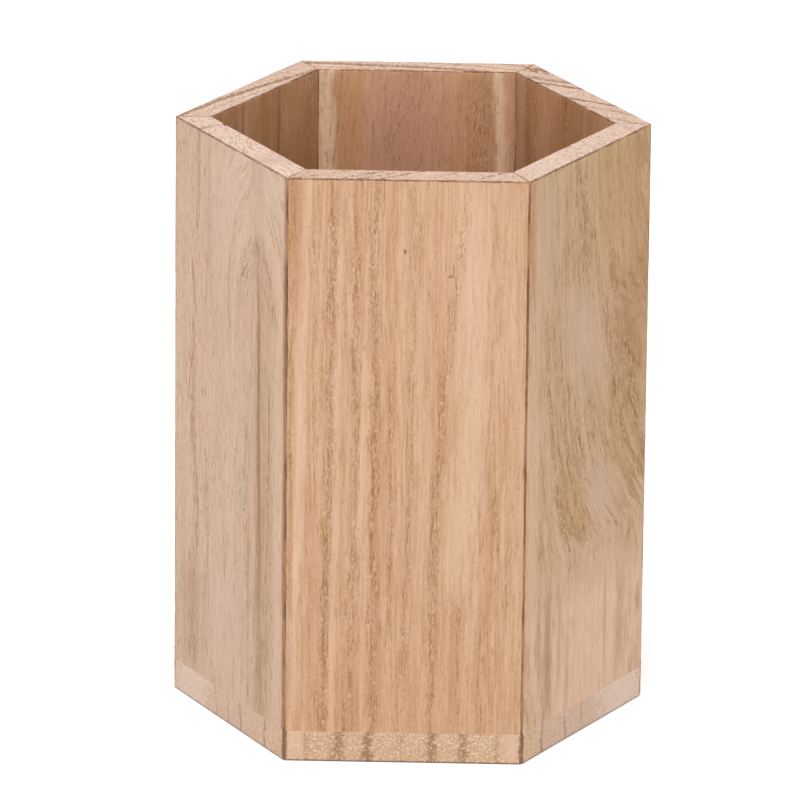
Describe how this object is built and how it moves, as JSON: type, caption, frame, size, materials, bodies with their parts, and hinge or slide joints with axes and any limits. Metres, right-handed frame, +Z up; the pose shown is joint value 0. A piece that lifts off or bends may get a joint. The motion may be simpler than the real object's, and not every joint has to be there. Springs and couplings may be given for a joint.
{
  "type": "pen holder",
  "caption": "Open-topped hexagonal pen holder in solid wood: mitred side boards are glued in a ring on a flush hexagonal foot plate.",
  "frame": {"origin": "centre of the underside, where the foot plate rests on the desk", "axes": "+Z up along the well's axis; the front board's outer face looks along -Y; two upright corners lie on the X axis"},
  "size_m": [0.0938, 0.0814, 0.12],
  "materials": {
    "warm_tan_wood": "bare, fine sanded",
    "pale_beige_wood": "bare, fine sanded",
    "olive_tan_wood": "bare, fine sanded",
    "brown_wood": "bare, fine sanded",
    "end_grain_wood": "bare, end grain shows round the edge"
  },
  "bodies": {
    "root": {"foot_plate": "end_grain_wood", "front_board": "warm_tan_wood", "front_right_board": "olive_tan_wood", "back_right_board": "brown_wood", "back_board": "brown_wood", "back_left_board": "brown_wood", "front_left_board": "pale_beige_wood"}
  },
  "joints": []
}
